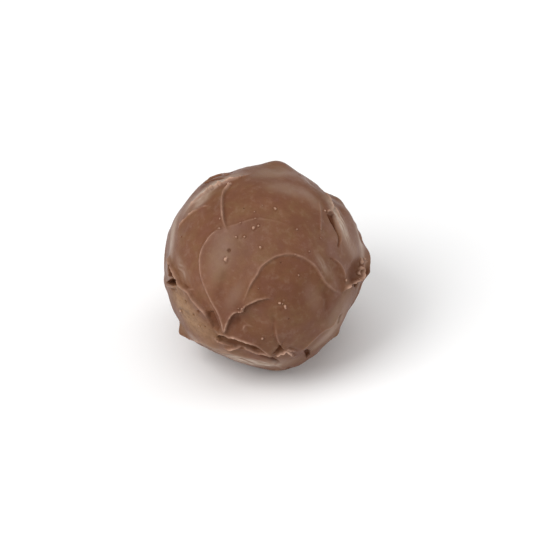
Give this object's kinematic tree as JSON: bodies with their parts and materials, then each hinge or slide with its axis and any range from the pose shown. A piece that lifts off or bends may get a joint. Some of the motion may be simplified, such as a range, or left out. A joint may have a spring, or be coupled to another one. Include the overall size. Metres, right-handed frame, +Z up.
{
  "type": "chocolate bonbon",
  "caption": "Round bonbon of milk chocolate, coated by hand, with overlapping smears whose ridges run all over the ball; it rests on a small flat spot.",
  "frame": {"origin": "middle of the small flat spot that the bonbon rests on", "axes": "+Z up, -Y towards the front, the side that the picture shows from above, +X to the right of that view"},
  "size_m": [0.0321, 0.0316, 0.0303],
  "materials": {
    "milk_chocolate": "milk chocolate, satin, smeared by hand"
  },
  "bodies": {
    "root": {"bonbon": "milk_chocolate"}
  },
  "joints": []
}
